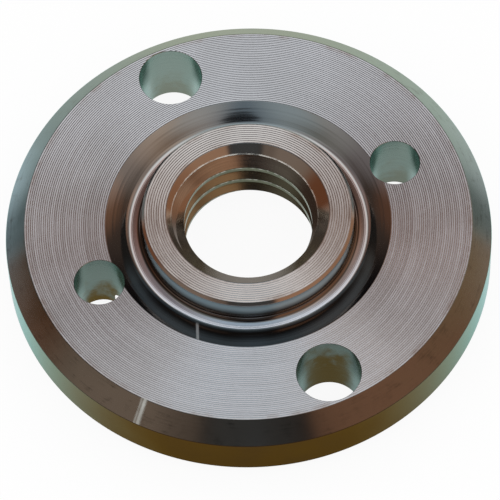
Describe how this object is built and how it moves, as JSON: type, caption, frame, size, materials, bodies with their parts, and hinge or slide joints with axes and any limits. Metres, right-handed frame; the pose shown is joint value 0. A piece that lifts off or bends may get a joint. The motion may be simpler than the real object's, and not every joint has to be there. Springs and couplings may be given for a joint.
{
  "type": "grinder flange nut",
  "caption": "Round one-piece steel flange nut with a raised threaded hub, a groove around it and through holes for a pin spanner, which clamps a wheel on an angle grinder spindle.",
  "frame": {"origin": "centre of the nut's axis in the plane of its back face", "axes": "+Z along the spindle axis from the back face towards the hub, +X through a small pin hole, +Y through a large pin hole"},
  "size_m": [0.045, 0.045, 0.009],
  "materials": {
    "plated_steel": "zinc plated, turned"
  },
  "bodies": {
    "root": {"flange_nut": "plated_steel"}
  },
  "joints": []
}
